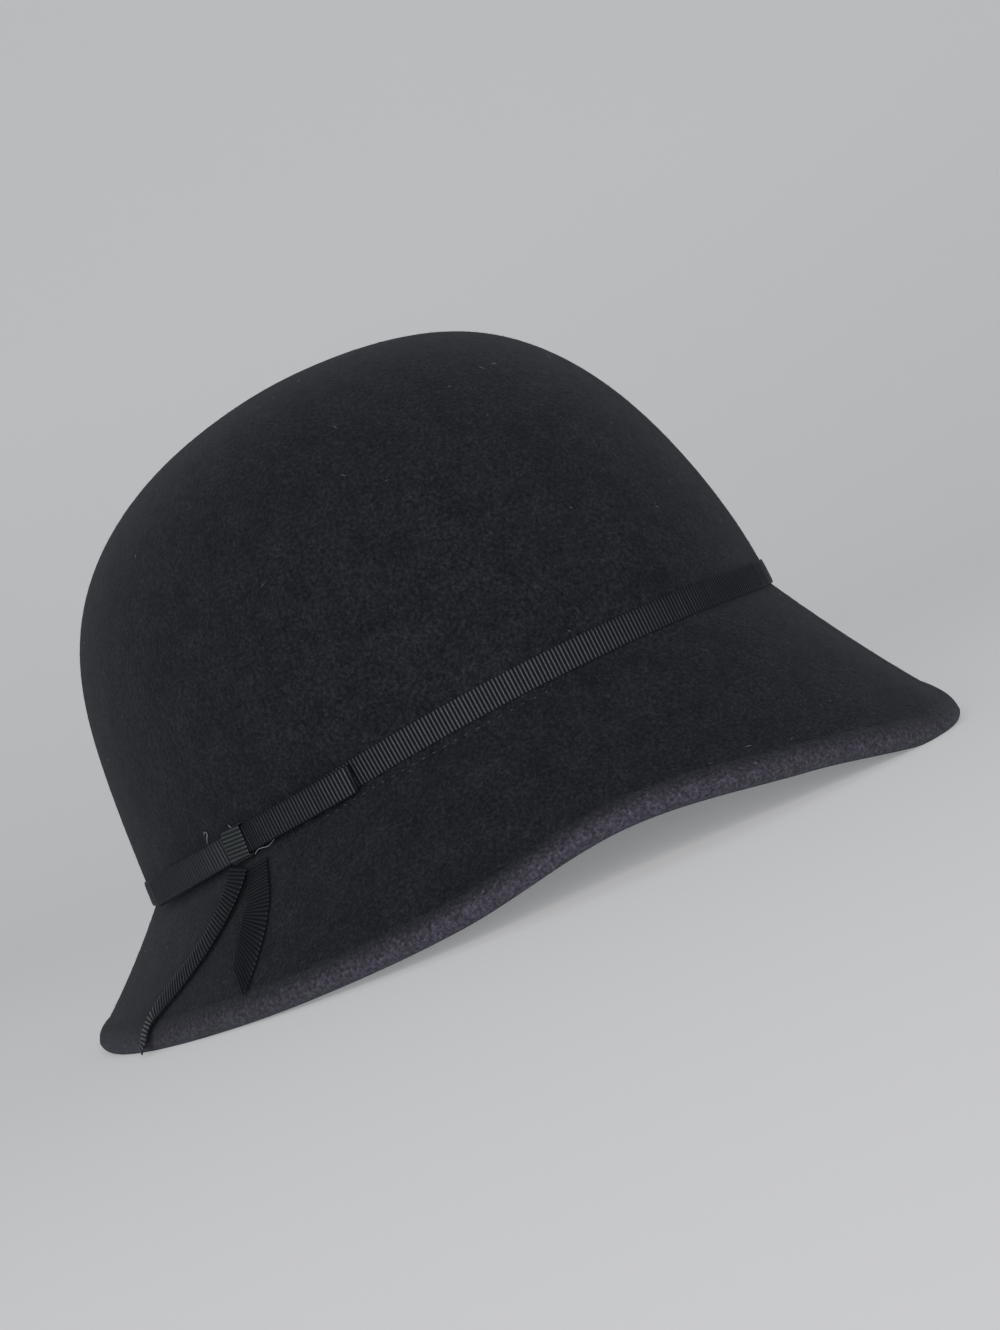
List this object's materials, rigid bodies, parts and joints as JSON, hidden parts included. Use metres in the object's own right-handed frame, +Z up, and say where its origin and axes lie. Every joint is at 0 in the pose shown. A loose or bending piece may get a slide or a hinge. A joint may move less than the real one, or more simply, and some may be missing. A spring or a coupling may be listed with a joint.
{
  "type": "felt cloche hat",
  "caption": "Blocked wool felt cloche hat with a rounded crown, a down-turned brim with a curled edge, and a narrow ribbon band with a flat bow.",
  "frame": {"origin": "on the surface that the brim stands on, under the middle of the hat's outer box", "axes": "+Z up, -Y towards the front of the hat, +X towards the wearer's left, so the bow is on the -X side"},
  "size_m": [0.2258, 0.2694, 0.1572],
  "materials": {
    "wool_felt": "matt, softly napped",
    "grosgrain": "ribbed, with a slight sheen on the ribs"
  },
  "bodies": {
    "root": {"felt_body": "wool_felt", "hat_band": "grosgrain", "bow_loop_front": "grosgrain", "bow_loop_back": "grosgrain", "bow_knot": "grosgrain", "bow_tail_long": "grosgrain", "bow_tail_short": "grosgrain"}
  },
  "joints": []
}
